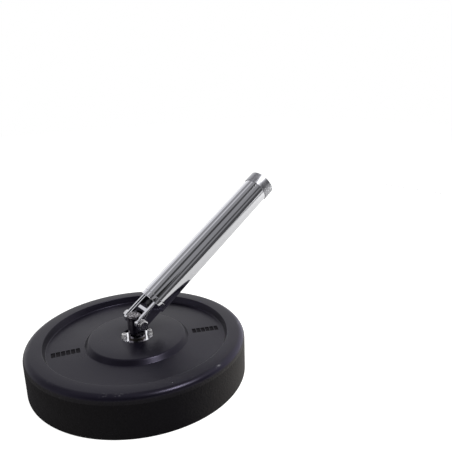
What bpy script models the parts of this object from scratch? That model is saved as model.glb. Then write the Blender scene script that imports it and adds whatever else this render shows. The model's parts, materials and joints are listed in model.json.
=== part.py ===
"""Barbell pivot base: a heavy rubber floor plate with a swivelling, hinged sleeve.

Blender 4.5, metres, +Z up. The origin is the centre of the underside. The swivel turns about Z,
the hinge bolt runs along Y, and the sleeve rises towards +X at its resting angle.
"""

import math

import bmesh
import bpy
from mathutils import Matrix, Vector

# Clearance left between pieces that touch
GAP = 0.0003

# Size that the joints' axes are drawn at
AXIS_DISPLAY_SIZE = 0.05

# Fineness of arcs and of turned pieces
ARC_STEP = math.radians(30)
PLATE_SIDES = 72
LARGE_SIDES = 32
MIDDLE_SIDES = 20
SMALL_SIDES = 16
ARM_END_STEPS = 8
SHARP_ANGLE = math.radians(30)

# Rubber plate
PLATE_RADIUS = 0.225
PLATE_HEIGHT = 0.0833
PLATE_TOP_ROUND = 0.0138
PLATE_FOOT_ROUND = 0.0017
RIM_WIDTH = 0.0365
RIM_SLOPE = 0.0050
RIM_ROUND = 0.0025
DISH_DEPTH = 0.0140
DISH_ROUND = 0.0040
HUB_RADIUS = 0.0990
HUB_DROP = 0.0050
HUB_SLOPE = 0.0085
HUB_ROUND = 0.0060

# Spool of steel moulded into the middle of the plate
INSERT_FLANGE_RADIUS = 0.045
INSERT_FLANGE_THICKNESS = 0.008
INSERT_BARREL_RADIUS = 0.030

# Swivel housing, held on the spool by two screws
HOUSING_FLANGE_RADIUS = 0.0330
HOUSING_FLANGE_THICKNESS = 0.0045
HOUSING_EDGE_ROUND = 0.0012
HOUSING_SINK = 0.0078
HOUSING_BARREL_RADIUS = 0.0220
HOUSING_FLOOR = 0.0300
HOUSING_SCREW_CIRCLE = 0.0265
HOUSING_SCREW_ANGLE = math.radians(-22)
HOUSING_SCREW_DEPTH = 0.0062

# Swivel bushes
BUSH_WALL = 0.0015
BUSH_SPACING = 0.0050
BUSH_FLANGE_RADIUS = 0.0178
BUSH_FLANGE_THICKNESS = 0.0020

# Swivel post, its foot, its spindle and the nut below
HINGE_HEIGHT = 0.1120
POST_RADIUS = 0.0180
POST_TOP = 0.0140
POST_TOP_ROUND = 0.0030
POST_FLAT = 0.0150
FOOT_HEIGHT = 0.0085
JOURNAL_RADIUS = 0.0145
SPINDLE_RADIUS = 0.0100
SPINDLE_WASHER_THICKNESS = 0.0030
SPINDLE_NUT_FLATS = 0.0300
SPINDLE_NUT_HEIGHT = 0.0120
SPINDLE_TIP = 0.0030

# Bottom cover and its countersunk screws
COVER_RADIUS = 0.0500
COVER_THICKNESS = 0.0060
COVER_SCREW_CIRCLE = 0.0380
COVER_SCREW_COUNT = 4
COVER_SCREW_REACH = 0.0065
COVER_SCREW_SINK = 0.0004

# Six millimetre screw with washers, as used on the housing and the cover
SCREW_RADIUS = 0.0030
SCREW_HEAD_RADIUS = 0.0050
SCREW_HEAD_HEIGHT = 0.0060
SCREW_HEAD_ROUND = 0.0010
SCREW_SOCKET_FLATS = 0.0050
SCREW_SOCKET_DEPTH = 0.0030
COUNTERSUNK_HEAD_RADIUS = 0.0060
FLAT_WASHER_RADIUS = 0.0060
FLAT_WASHER_THICKNESS = 0.0016
LOCK_WASHER_RADIUS = 0.0055
LOCK_WASHER_THICKNESS = 0.0015

# Sleeve, measured along its own axis from the hinge bolt
SLEEVE_ANGLE = math.radians(34.1)
SLEEVE_RADIUS = 0.03015
SLEEVE_BORE_RADIUS = 0.02625
SLEEVE_START = 0.0603
SLEEVE_END = 0.4110
MOUTH_SKIRT = 0.0080
MOUTH_COLLAR = 0.0190
MOUTH_RADIUS = 0.0315
MOUTH_LIP_ROUND = 0.0015

# Fork that carries the sleeve on the hinge bolt
ARM_HEIGHT = 0.0260
ARM_FLAT = 0.0275
FORK_GAP = 0.0175
REBATE_GAP = 0.0225
REBATE_DEPTH = 0.0018
WEB_START = 0.0235
WEB_HEIGHT = 0.0180
WEB_THICKNESS = 0.0065
FORK_DISC_THICKNESS = 0.0120
SPIGOT_LENGTH = 0.0140

# Stop in the sleeve's foot, and the bolt that clamps it to the fork
STOP_THICKNESS = 0.0150
STOP_RECESS_RADIUS = 0.0130
STOP_FLOOR = 0.0050
STOP_BOLT_TIP = 0.0360

# Ten millimetre bolts, nuts and washers
BOLT_RADIUS = 0.0050
BOLT_FLATS = 0.0170
BOLT_HEAD_HEIGHT = 0.0064
NUT_HEIGHT = 0.0095
WASHER_RADIUS = 0.0100
WASHER_THICKNESS = 0.0020
HINGE_BOLT_TIP = 0.0020

# Flanged bushes of the hinge
HINGE_BUSH_RADIUS = 0.0070
HINGE_BUSH_FLANGE_RADIUS = 0.0100
HINGE_BUSH_MIDDLE_GAP = 0.0005

# Heights and places that follow from the sizes above
HUB_TOP = PLATE_HEIGHT - HUB_DROP
DISH_FLOOR = PLATE_HEIGHT - DISH_DEPTH
HOUSING_SEAT = HUB_TOP - HOUSING_SINK
HOUSING_TOP = HOUSING_SEAT + HOUSING_FLANGE_THICKNESS
INSERT_TOP = HOUSING_SEAT - GAP
BUSH_LENGTH = (HOUSING_TOP - HOUSING_FLOOR - BUSH_SPACING) / 2
INSERT_FOOT = COVER_THICKNESS + GAP
INSERT_BORE_RADIUS = HOUSING_BARREL_RADIUS + GAP
BUSH_BORE_RADIUS = JOURNAL_RADIUS + GAP
BUSH_RADIUS = BUSH_BORE_RADIUS + BUSH_WALL
FOOT_BASE = HOUSING_TOP + BUSH_FLANGE_THICKNESS + 2 * GAP
JOURNAL_END = HOUSING_FLOOR - BUSH_FLANGE_THICKNESS - GAP
SPINDLE_WASHER_TOP = JOURNAL_END - GAP
SPINDLE_NUT_TOP = SPINDLE_WASHER_TOP - SPINDLE_WASHER_THICKNESS - GAP
SPINDLE_END = SPINDLE_NUT_TOP - SPINDLE_NUT_HEIGHT - SPINDLE_TIP
FORK_DISC_START = SLEEVE_START - GAP - FORK_DISC_THICKNESS
SPIGOT_END = SLEEVE_START - GAP + SPIGOT_LENGTH
STOP_START = SPIGOT_END + GAP
STOP_WASHER_START = STOP_START + STOP_FLOOR + GAP
STOP_HEAD_START = STOP_WASHER_START + WASHER_THICKNESS + GAP
STOP_NUT_END = FORK_DISC_START - GAP
MOUTH_START = SLEEVE_END - MOUTH_SKIRT
MOUTH_END = SLEEVE_END + MOUTH_COLLAR
HINGE_WASHER_FACE = ARM_FLAT + GAP
HINGE_NUT_FACE = HINGE_WASHER_FACE + WASHER_THICKNESS + GAP
HINGE_BUSH_FLANGE_FACE = POST_FLAT + GAP
HINGE_BUSH_FLANGE_THICKNESS = FORK_GAP - GAP - HINGE_BUSH_FLANGE_FACE

ALONG_Y = Matrix.Rotation(math.radians(-90), 4, "X")
AGAINST_Y = Matrix.Rotation(math.radians(90), 4, "X")


def clear_scene():
    for item in list(bpy.data.objects):
        bpy.data.objects.remove(item)


def new_collection(name):
    collection = bpy.data.collections.new(name)
    bpy.context.scene.collection.children.link(collection)
    return collection


def new_material(name, colour, roughness, metallic):
    material = bpy.data.materials.new(name)
    material.use_nodes = True
    shader = material.node_tree.nodes["Principled BSDF"]
    shader.inputs["Base Color"].default_value = (*colour, 1.0)
    shader.inputs["Roughness"].default_value = roughness
    shader.inputs["Metallic"].default_value = metallic
    return material


def new_axis(name, location, turn):
    """An empty on a joint's axis, which the pieces of a moving group hang from."""
    axis = bpy.data.objects.new(name, None)
    axis.empty_display_size = AXIS_DISPLAY_SIZE
    axis.location = location
    axis.rotation_euler = (0.0, turn, 0.0)
    PARTS.objects.link(axis)
    return axis


def place(name, mesh, collection, parent, matrix):
    piece = bpy.data.objects.new(name, mesh)
    collection.objects.link(piece)
    piece.parent = parent
    piece.matrix_basis = matrix
    return piece


def finish_piece(name, mesh, material, parent, matrix):
    mesh.materials.append(material)
    return place(name, mesh, PARTS, parent, matrix)


def rounded(corners):
    """Points of a closed outline of (x, y, radius) corners, with an arc at each rounded one."""
    points = []
    for index, (x, y, radius) in enumerate(corners):
        here = Vector((x, y))
        if radius == 0.0:
            points.append((x, y))
            continue
        back = (Vector(corners[index - 1][:2]) - here).normalized()
        ahead = (Vector(corners[(index + 1) % len(corners)][:2]) - here).normalized()
        half = back.angle(ahead) / 2
        centre = here + (back + ahead).normalized() * (radius / math.sin(half))
        first = here + back * (radius / math.tan(half)) - centre
        last = here + ahead * (radius / math.tan(half)) - centre
        start = math.atan2(first.y, first.x)
        sweep = math.remainder(math.atan2(last.y, last.x) - start, math.tau)
        steps = max(1, round(abs(sweep) / ARC_STEP))
        for step in range(steps + 1):
            angle = start + sweep * step / steps
            points.append((centre.x + radius * math.cos(angle), centre.y + radius * math.sin(angle)))
    return points


def turned_mesh(name, corners, sides):
    """Mesh of an outline turned about Z. The outline runs down its outer side.

    Where it starts and ends on the axis, the edge along the axis is left out.
    """
    points = rounded(corners)
    bm = bmesh.new()
    verts = [bm.verts.new((radius, 0.0, height)) for radius, height in points]
    for first, second in zip(verts, verts[1:] + verts[:1]):
        if first.co.x > 0.0 or second.co.x > 0.0:
            bm.edges.new((first, second))
    mesh = bpy.data.meshes.new(name)
    bm.to_mesh(mesh)
    bm.free()
    holder = bpy.data.objects.new(name, mesh)
    bpy.context.scene.collection.objects.link(holder)
    screw = holder.modifiers.new("Turn", "SCREW")
    screw.axis = "Z"
    screw.steps = sides
    screw.render_steps = sides
    screw.use_merge_vertices = True
    screw.merge_threshold = 0.00001
    weld = holder.modifiers.new("Close the poles", "WELD")
    weld.merge_threshold = 0.00001
    bpy.context.view_layer.update()
    evaluated = holder.evaluated_get(bpy.context.evaluated_depsgraph_get())
    solid = bpy.data.meshes.new_from_object(evaluated)
    solid.name = name
    bpy.data.objects.remove(holder)
    bpy.data.meshes.remove(mesh)
    solid.shade_smooth()
    solid.set_sharp_from_angle(angle=SHARP_ANGLE)
    return solid


def turned(name, corners, material, sides=LARGE_SIDES, parent=None, matrix=Matrix()):
    return finish_piece(name, turned_mesh(name, corners, sides), material, parent, matrix)


def ring_corners(inner, outer, low, high):
    return [(inner, high, 0.0), (outer, high, 0.0), (outer, low, 0.0), (inner, low, 0.0)]


def disc_corners(radius, low, high):
    return [(0.0, high, 0.0), (radius, high, 0.0), (radius, low, 0.0), (0.0, low, 0.0)]


def hex_mesh(name, flats, low, high):
    bm = bmesh.new()
    radius = flats / 2 / math.cos(math.pi / 6)
    shift = Matrix.Translation((0.0, 0.0, (low + high) / 2))
    bmesh.ops.create_cone(bm, cap_ends=True, segments=6, radius1=radius, radius2=radius,
                          depth=high - low, matrix=shift)
    mesh = bpy.data.meshes.new(name)
    bm.to_mesh(mesh)
    bm.free()
    return mesh


def box_mesh(name, low, high):
    bm = bmesh.new()
    bmesh.ops.create_cube(bm, size=1.0)
    for vert in bm.verts:
        for axis in range(3):
            vert.co[axis] = low[axis] if vert.co[axis] < 0 else high[axis]
    mesh = bpy.data.meshes.new(name)
    bm.to_mesh(mesh)
    bm.free()
    return mesh


def combine(piece, mesh, operation, matrix=Matrix()):
    """Cut a piece with a guide shape, or join or intersect it with one."""
    guide = place(piece.name + "_" + mesh.name, mesh, CUTTERS, piece.parent, piece.matrix_basis @ matrix)
    guide.hide_render = True
    guide.display_type = "WIRE"
    boolean = piece.modifiers.new(mesh.name, "BOOLEAN")
    boolean.operation = operation
    boolean.solver = "EXACT"
    boolean.object = guide


def drill(piece, radius, low, high, matrix=Matrix()):
    hole = turned_mesh("drill", disc_corners(radius, low, high), SMALL_SIDES)
    combine(piece, hole, "DIFFERENCE", matrix)


def hex_bolt(name, tip, material, parent, matrix):
    """Bolt with its head above z = 0 and its shank reaching down to the tip."""
    bolt = finish_piece(name, hex_mesh(name, BOLT_FLATS, 0.0, BOLT_HEAD_HEIGHT), material, parent, matrix)
    shank = disc_corners(BOLT_RADIUS, -tip, BOLT_HEAD_HEIGHT / 2)
    combine(bolt, turned_mesh("shank", shank, SMALL_SIDES), "UNION")


def hex_nut(name, flats, height, bore, material, parent, matrix):
    """Nut standing on z = 0."""
    nut = finish_piece(name, hex_mesh(name, flats, 0.0, height), material, parent, matrix)
    drill(nut, bore, -height, 2 * height)


def housing_screw_places():
    """Places on the housing flange of the left and the right screw."""
    for side, turn in (("left", math.pi), ("right", 0.0)):
        angle = HOUSING_SCREW_ANGLE + turn
        x = HOUSING_SCREW_CIRCLE * math.cos(angle)
        y = HOUSING_SCREW_CIRCLE * math.sin(angle)
        yield side, Matrix.Translation((x, y, 0.0))


def cover_screw_places():
    for index in range(COVER_SCREW_COUNT):
        angle = math.pi / 4 + math.tau * index / COVER_SCREW_COUNT
        x = COVER_SCREW_CIRCLE * math.cos(angle)
        y = COVER_SCREW_CIRCLE * math.sin(angle)
        yield index + 1, Matrix.Translation((x, y, 0.0))


def rubber_plate():
    rim_inner = PLATE_RADIUS - RIM_WIDTH
    recess = HOUSING_FLANGE_RADIUS + GAP
    flange = INSERT_FLANGE_RADIUS + GAP
    barrel = INSERT_BARREL_RADIUS + GAP
    lower_flange_top = INSERT_FOOT + INSERT_FLANGE_THICKNESS + GAP
    upper_flange_base = INSERT_TOP - INSERT_FLANGE_THICKNESS - GAP
    turned("rubber_plate", [
        (recess, HUB_TOP, 0.0),
        (HUB_RADIUS, HUB_TOP, HUB_ROUND),
        (HUB_RADIUS + HUB_SLOPE, DISH_FLOOR, DISH_ROUND),
        (rim_inner - RIM_SLOPE, DISH_FLOOR, DISH_ROUND),
        (rim_inner, PLATE_HEIGHT, RIM_ROUND),
        (PLATE_RADIUS, PLATE_HEIGHT, PLATE_TOP_ROUND),
        (PLATE_RADIUS, 0.0, PLATE_FOOT_ROUND),
        (COVER_RADIUS + GAP, 0.0, 0.0),
        (COVER_RADIUS + GAP, INSERT_FOOT, 0.0),
        (flange, INSERT_FOOT, 0.0),
        (flange, lower_flange_top, 0.0),
        (barrel, lower_flange_top, 0.0),
        (barrel, upper_flange_base, 0.0),
        (flange, upper_flange_base, 0.0),
        (flange, HOUSING_SEAT, 0.0),
        (recess, HOUSING_SEAT, 0.0),
    ], RUBBER, PLATE_SIDES)


def hub_insert():
    spool = turned("hub_insert", [
        (INSERT_BORE_RADIUS, INSERT_TOP, 0.0),
        (INSERT_FLANGE_RADIUS, INSERT_TOP, 0.0),
        (INSERT_FLANGE_RADIUS, INSERT_TOP - INSERT_FLANGE_THICKNESS, 0.0),
        (INSERT_BARREL_RADIUS, INSERT_TOP - INSERT_FLANGE_THICKNESS, 0.0),
        (INSERT_BARREL_RADIUS, INSERT_FOOT + INSERT_FLANGE_THICKNESS, 0.0),
        (INSERT_FLANGE_RADIUS, INSERT_FOOT + INSERT_FLANGE_THICKNESS, 0.0),
        (INSERT_FLANGE_RADIUS, INSERT_FOOT, 0.0),
        (INSERT_BORE_RADIUS, INSERT_FOOT, 0.0),
    ], STEEL)
    hole = SCREW_RADIUS + GAP
    for _side, spot in housing_screw_places():
        drill(spool, hole, INSERT_TOP - HOUSING_SCREW_DEPTH, INSERT_TOP + HOUSING_SCREW_DEPTH, spot)
    for _index, spot in cover_screw_places():
        drill(spool, hole, 0.0, INSERT_FOOT + COVER_SCREW_REACH, spot)


def swivel_housing():
    bore = BUSH_RADIUS + GAP
    housing = turned("swivel_housing", [
        (bore, HOUSING_TOP, 0.0),
        (HOUSING_FLANGE_RADIUS, HOUSING_TOP, HOUSING_EDGE_ROUND),
        (HOUSING_FLANGE_RADIUS, HOUSING_SEAT, 0.0),
        (HOUSING_BARREL_RADIUS, HOUSING_SEAT, 0.0),
        (HOUSING_BARREL_RADIUS, HOUSING_FLOOR, 0.0),
        (bore, HOUSING_FLOOR, 0.0),
    ], CHROME)
    for _side, spot in housing_screw_places():
        drill(housing, SCREW_RADIUS + GAP, HOUSING_FLOOR, HUB_TOP, spot)


def housing_fasteners():
    """Two cap screws, each on a lock washer and a flat washer."""
    flat_base = HOUSING_TOP + GAP
    lock_base = flat_base + FLAT_WASHER_THICKNESS + GAP
    head_base = lock_base + LOCK_WASHER_THICKNESS + GAP
    head_top = head_base + SCREW_HEAD_HEIGHT
    bore = SCREW_RADIUS + GAP
    for side, spot in housing_screw_places():
        turned("housing_washer_" + side,
               ring_corners(bore, FLAT_WASHER_RADIUS, flat_base, flat_base + FLAT_WASHER_THICKNESS),
               ZINC, SMALL_SIDES, None, spot)
        turned("housing_lock_washer_" + side,
               ring_corners(bore, LOCK_WASHER_RADIUS, lock_base, lock_base + LOCK_WASHER_THICKNESS),
               ZINC, SMALL_SIDES, None, spot)
        screw = turned("housing_screw_" + side, [
            (0.0, head_top, 0.0),
            (SCREW_HEAD_RADIUS, head_top, SCREW_HEAD_ROUND),
            (SCREW_HEAD_RADIUS, head_base, 0.0),
            (SCREW_RADIUS, head_base, 0.0),
            (SCREW_RADIUS, INSERT_TOP - HOUSING_SCREW_DEPTH + GAP, 0.0),
            (0.0, INSERT_TOP - HOUSING_SCREW_DEPTH + GAP, 0.0),
        ], ZINC, SMALL_SIDES, None, spot)
        socket = hex_mesh("socket", SCREW_SOCKET_FLATS, head_top - SCREW_SOCKET_DEPTH, head_top + SCREW_RADIUS)
        combine(screw, socket, "DIFFERENCE")


def flanged_bush(name, bore, radius, length, flange_radius, flange_thickness, material, parent, matrix):
    """Bush with its barrel below z = 0 and its flange above."""
    turned(name, [
        (bore, flange_thickness, 0.0),
        (flange_radius, flange_thickness, 0.0),
        (flange_radius, 0.0, 0.0),
        (radius, 0.0, 0.0),
        (radius, -length, 0.0),
        (bore, -length, 0.0),
    ], material, MIDDLE_SIDES, parent, matrix)


def swivel_bushes():
    upper = Matrix.Translation((0.0, 0.0, HOUSING_TOP + GAP))
    lower = Matrix.Translation((0.0, 0.0, HOUSING_FLOOR - GAP)) @ Matrix.Rotation(math.pi, 4, "X")
    for name, matrix in (("upper_bush", upper), ("lower_bush", lower)):
        flanged_bush(name, BUSH_BORE_RADIUS, BUSH_RADIUS, BUSH_LENGTH, BUSH_FLANGE_RADIUS,
                     BUSH_FLANGE_THICKNESS, BRONZE, None, matrix)


def bottom_cover():
    cover = turned("bottom_cover", disc_corners(COVER_RADIUS, 0.0, COVER_THICKNESS), STEEL)
    funnel = countersunk_corners(GAP, -COVER_SCREW_SINK, 2 * COVER_THICKNESS)
    for _index, spot in cover_screw_places():
        combine(cover, turned_mesh("countersink", funnel, SMALL_SIDES), "DIFFERENCE", spot)


def countersunk_corners(growth, low, high):
    """Outline of a countersunk screw with its wide end down, or of its hole, which is grown."""
    shank = SCREW_RADIUS + growth
    head = COUNTERSUNK_HEAD_RADIUS + growth
    return [
        (0.0, high, 0.0),
        (shank, high, 0.0),
        (shank, COVER_SCREW_SINK + head - shank, 0.0),
        (head, COVER_SCREW_SINK, 0.0),
        (head, low, 0.0),
        (0.0, low, 0.0),
    ]


def cover_screws():
    tip = INSERT_FOOT + COVER_SCREW_REACH - GAP
    outline = countersunk_corners(0.0, COVER_SCREW_SINK / 2, tip)
    for index, spot in cover_screw_places():
        turned("cover_screw_%d" % index, outline, ZINC, SMALL_SIDES, None, spot)


def swivel_post(axis):
    top = HINGE_HEIGHT + POST_TOP
    post = turned("swivel_post", [
        (0.0, top, 0.0),
        (POST_RADIUS, top, POST_TOP_ROUND),
        (POST_RADIUS, FOOT_BASE, 0.0),
        (JOURNAL_RADIUS, FOOT_BASE, 0.0),
        (JOURNAL_RADIUS, JOURNAL_END, 0.0),
        (SPINDLE_RADIUS, JOURNAL_END, 0.0),
        (SPINDLE_RADIUS, SPINDLE_END, 0.0),
        (0.0, SPINDLE_END, 0.0),
    ], DARK_CHROME, LARGE_SIDES, axis)
    width = 2 * POST_RADIUS
    flat_base = FOOT_BASE + FOOT_HEIGHT
    for side in (-1, 1):
        low, high = sorted((side * POST_FLAT, side * width))
        flat = box_mesh("flat", (-width, low, flat_base), (width, high, top + width))
        combine(post, flat, "DIFFERENCE")
    bore = Matrix.Translation((0.0, 0.0, HINGE_HEIGHT)) @ ALONG_Y
    drill(post, HINGE_BUSH_RADIUS + GAP, -width, width, bore)


def spindle_fasteners(axis):
    bore = SPINDLE_RADIUS + GAP
    low = SPINDLE_WASHER_TOP - SPINDLE_WASHER_THICKNESS
    turned("spindle_washer", ring_corners(bore, BUSH_FLANGE_RADIUS, low, SPINDLE_WASHER_TOP), ZINC,
           MIDDLE_SIDES, axis)
    seat = Matrix.Translation((0.0, 0.0, SPINDLE_NUT_TOP - SPINDLE_NUT_HEIGHT))
    hex_nut("spindle_nut", SPINDLE_NUT_FLATS, SPINDLE_NUT_HEIGHT, bore, ZINC, axis, seat)


def hinge_bushes(axis):
    """Flanged bushes in the post's cross bore. Their flanges take up the gap to the fork's arms."""
    length = HINGE_BUSH_FLANGE_FACE - HINGE_BUSH_MIDDLE_GAP
    centre = Matrix.Translation((0.0, 0.0, HINGE_HEIGHT))
    face = Matrix.Translation((0.0, 0.0, HINGE_BUSH_FLANGE_FACE))
    for side, turn in (("near", AGAINST_Y), ("far", ALONG_Y)):
        flanged_bush("hinge_bush_" + side, BOLT_RADIUS + GAP, HINGE_BUSH_RADIUS, length,
                     HINGE_BUSH_FLANGE_RADIUS, HINGE_BUSH_FLANGE_THICKNESS, BRONZE, axis,
                     centre @ turn @ face)


def fork(axis):
    """Two flat arms with rebated edges and a web between them, on a disc whose spigot plugs the sleeve."""
    half = ARM_HEIGHT / 2
    piece = turned("fork", [
        (0.0, SPIGOT_END, 0.0),
        (SLEEVE_BORE_RADIUS - GAP, SPIGOT_END, 0.0),
        (SLEEVE_BORE_RADIUS - GAP, SLEEVE_START - GAP, 0.0),
        (SLEEVE_RADIUS, SLEEVE_START - GAP, 0.0),
        (SLEEVE_RADIUS, -ARM_HEIGHT, 0.0),
        (0.0, -ARM_HEIGHT, 0.0),
    ], CHROME, LARGE_SIDES, axis)
    reach = 2 * SLEEVE_RADIUS
    for side in (-1, 1):
        low, high = sorted((side * half, side * reach))
        trim = box_mesh("trim", (low, -reach, -reach), (high, reach, FORK_DISC_START))
        combine(piece, trim, "DIFFERENCE")
        low, high = sorted((side * ARM_FLAT, side * reach))
        face = box_mesh("face", (-reach, low, -reach), (reach, high, FORK_DISC_START))
        combine(piece, face, "DIFFERENCE")
    combine(piece, arm_end_mesh(half, reach), "DIFFERENCE")
    slot = box_mesh("slot", (-reach, -FORK_GAP, -reach), (reach, FORK_GAP, WEB_START))
    combine(piece, slot, "DIFFERENCE")
    window_start = WEB_START + WEB_THICKNESS
    window = box_mesh("window", (-reach, -FORK_GAP, window_start), (reach, FORK_GAP, FORK_DISC_START))
    combine(piece, window, "DIFFERENCE")
    web_half = WEB_HEIGHT / 2
    for side in (-1, 1):
        low, high = sorted((side * (half - REBATE_DEPTH), side * reach))
        rebate = box_mesh("rebate", (low, -REBATE_GAP, -reach), (high, REBATE_GAP, FORK_DISC_START))
        combine(piece, rebate, "DIFFERENCE")
        low, high = sorted((side * web_half, side * reach))
        shave = box_mesh("web_face", (low, -FORK_GAP, WEB_START - GAP), (high, FORK_GAP, window_start + GAP))
        combine(piece, shave, "DIFFERENCE")
    drill(piece, BOLT_RADIUS + GAP, -reach, reach, ALONG_Y)
    drill(piece, BOLT_RADIUS + GAP, window_start + GAP, 2 * SPIGOT_END)


def arm_end_mesh(half, reach):
    """Cutter that rounds the arms' ends about the hinge bolt."""
    outline = [(-reach, 0.0), (-reach, -reach), (reach, -reach), (reach, 0.0)]
    for step in range(ARM_END_STEPS + 1):
        angle = -math.pi * step / ARM_END_STEPS
        outline.append((half * math.cos(angle), half * math.sin(angle)))
    bm = bmesh.new()
    verts = [bm.verts.new((x, -reach, z)) for x, z in outline]
    cap = bm.faces.new(verts)
    swept = bmesh.ops.extrude_face_region(bm, geom=[cap])
    moved = [item for item in swept["geom"] if isinstance(item, bmesh.types.BMVert)]
    bmesh.ops.translate(bm, vec=(0.0, 2 * reach, 0.0), verts=moved)
    bmesh.ops.recalc_face_normals(bm, faces=bm.faces)
    mesh = bpy.data.meshes.new("end")
    bm.to_mesh(mesh)
    bm.free()
    return mesh


def sleeve(axis):
    turned("sleeve_tube", ring_corners(SLEEVE_BORE_RADIUS, SLEEVE_RADIUS, SLEEVE_START, SLEEVE_END),
           CHROME, LARGE_SIDES, axis)
    turned("mouth_ring", [
        (SLEEVE_BORE_RADIUS, MOUTH_END, MOUTH_LIP_ROUND),
        (MOUTH_RADIUS, MOUTH_END, MOUTH_LIP_ROUND),
        (MOUTH_RADIUS, MOUTH_START, 0.0),
        (SLEEVE_RADIUS + GAP, MOUTH_START, 0.0),
        (SLEEVE_RADIUS + GAP, SLEEVE_END + GAP, 0.0),
        (SLEEVE_BORE_RADIUS, SLEEVE_END + GAP, 0.0),
    ], SATIN, LARGE_SIDES, axis)


def bar_stop(axis):
    end = STOP_START + STOP_THICKNESS
    turned("bar_stop", [
        (BOLT_RADIUS + GAP, STOP_START + STOP_FLOOR, 0.0),
        (STOP_RECESS_RADIUS, STOP_START + STOP_FLOOR, 0.0),
        (STOP_RECESS_RADIUS, end, 0.0),
        (SLEEVE_BORE_RADIUS - GAP, end, 0.0),
        (SLEEVE_BORE_RADIUS - GAP, STOP_START, 0.0),
        (BOLT_RADIUS + GAP, STOP_START, 0.0),
    ], NYLON, LARGE_SIDES, axis)
    turned("stop_washer",
           ring_corners(BOLT_RADIUS + GAP, WASHER_RADIUS, STOP_WASHER_START,
                        STOP_WASHER_START + WASHER_THICKNESS),
           ZINC, SMALL_SIDES, axis)
    head = Matrix.Translation((0.0, 0.0, STOP_HEAD_START))
    hex_bolt("stop_bolt", STOP_HEAD_START - STOP_BOLT_TIP, BLACK_STEEL, axis, head)
    seat = Matrix.Translation((0.0, 0.0, STOP_NUT_END - NUT_HEIGHT))
    hex_nut("stop_nut", BOLT_FLATS, NUT_HEIGHT, BOLT_RADIUS + GAP, BLACK_STEEL, axis, seat)


def hinge_fasteners(axis):
    """Bolt with its head on the near arm and its lock nut on the far one, with a washer under each."""
    face = Matrix.Translation((0.0, 0.0, HINGE_WASHER_FACE))
    for side, turn in (("near", AGAINST_Y), ("far", ALONG_Y)):
        turned("hinge_washer_" + side,
               ring_corners(BOLT_RADIUS + GAP, WASHER_RADIUS, 0.0, WASHER_THICKNESS),
               ZINC, SMALL_SIDES, axis, turn @ face)
    seat = Matrix.Translation((0.0, 0.0, HINGE_NUT_FACE))
    tip = 2 * HINGE_NUT_FACE + NUT_HEIGHT + HINGE_BOLT_TIP
    hex_bolt("hinge_bolt", tip, ZINC, axis, AGAINST_Y @ seat)
    hex_nut("hinge_nut", BOLT_FLATS, NUT_HEIGHT, BOLT_RADIUS + GAP, ZINC, axis, ALONG_Y @ seat)


clear_scene()
PARTS = new_collection("barbell_pivot_base")
CUTTERS = new_collection("cutters")
RUBBER = new_material("black rubber", (0.045, 0.045, 0.05), 0.75, 0.0)
STEEL = new_material("plain steel", (0.45, 0.45, 0.46), 0.45, 1.0)
CHROME = new_material("chrome", (0.80, 0.80, 0.83), 0.08, 1.0)
DARK_CHROME = new_material("dark chrome", (0.34, 0.32, 0.35), 0.08, 1.0)
SATIN = new_material("satin steel", (0.62, 0.62, 0.63), 0.35, 1.0)
ZINC = new_material("bright zinc", (0.72, 0.72, 0.74), 0.25, 1.0)
BLACK_STEEL = new_material("blackened steel", (0.06, 0.06, 0.065), 0.40, 1.0)
BRONZE = new_material("bearing bronze", (0.11, 0.095, 0.08), 0.35, 1.0)
NYLON = new_material("black nylon", (0.03, 0.03, 0.03), 0.5, 0.0)

rubber_plate()
hub_insert()
swivel_housing()
housing_fasteners()
swivel_bushes()
bottom_cover()
cover_screws()

swivel_axis = new_axis("swivel_axis", (0.0, 0.0, 0.0), 0.0)
swivel_post(swivel_axis)
spindle_fasteners(swivel_axis)
hinge_bushes(swivel_axis)

hinge_axis = new_axis("hinge_axis", (0.0, 0.0, HINGE_HEIGHT), math.pi / 2 - SLEEVE_ANGLE)
fork(hinge_axis)
sleeve(hinge_axis)
bar_stop(hinge_axis)
hinge_fasteners(hinge_axis)
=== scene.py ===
"""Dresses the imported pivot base: fine surfaces, finishes, studio and camera.

Blender 4.5, metres, +Z up. The swivel turns about Z, the hinge bolt runs along Y, and the sleeve
rises towards +X. Each piece is modelled about Z in its own frame, then laid where its CAD node is.
"""

import json
import math

import bmesh
import bpy
from mathutils import Matrix, Vector


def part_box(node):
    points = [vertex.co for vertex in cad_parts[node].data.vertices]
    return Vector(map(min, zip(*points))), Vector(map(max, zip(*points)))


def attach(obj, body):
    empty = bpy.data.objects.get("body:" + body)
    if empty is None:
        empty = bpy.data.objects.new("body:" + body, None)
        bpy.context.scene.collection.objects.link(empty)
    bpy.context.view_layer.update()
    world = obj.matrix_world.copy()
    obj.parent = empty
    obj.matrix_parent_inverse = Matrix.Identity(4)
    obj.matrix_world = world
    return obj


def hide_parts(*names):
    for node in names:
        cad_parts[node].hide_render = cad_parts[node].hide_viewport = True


bl_info = {
    "name": "Barbell pivot base",
    "version": (1, 0, 0),
    "blender": (4, 5, 0),
    "location": "View3D > Sidebar > Pivot Base",
    "description": "Models and finishes a floor plate with a swivelling, hinged sleeve",
    "category": "Object",
}

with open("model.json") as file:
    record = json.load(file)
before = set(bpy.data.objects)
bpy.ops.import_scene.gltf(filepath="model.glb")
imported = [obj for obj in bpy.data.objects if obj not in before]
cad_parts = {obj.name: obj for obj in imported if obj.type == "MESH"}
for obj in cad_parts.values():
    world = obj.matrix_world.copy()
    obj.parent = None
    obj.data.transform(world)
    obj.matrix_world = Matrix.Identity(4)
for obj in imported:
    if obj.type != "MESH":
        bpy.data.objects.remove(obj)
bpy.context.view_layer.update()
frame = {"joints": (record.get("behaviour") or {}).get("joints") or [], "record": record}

# Clearance between neighbouring pieces, distance that welds vertices, and side of the plane that is
# merged to an outline's first vertex.
GAP = 0.0003
MERGE = 0.000002
SPECK = 0.001
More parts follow.
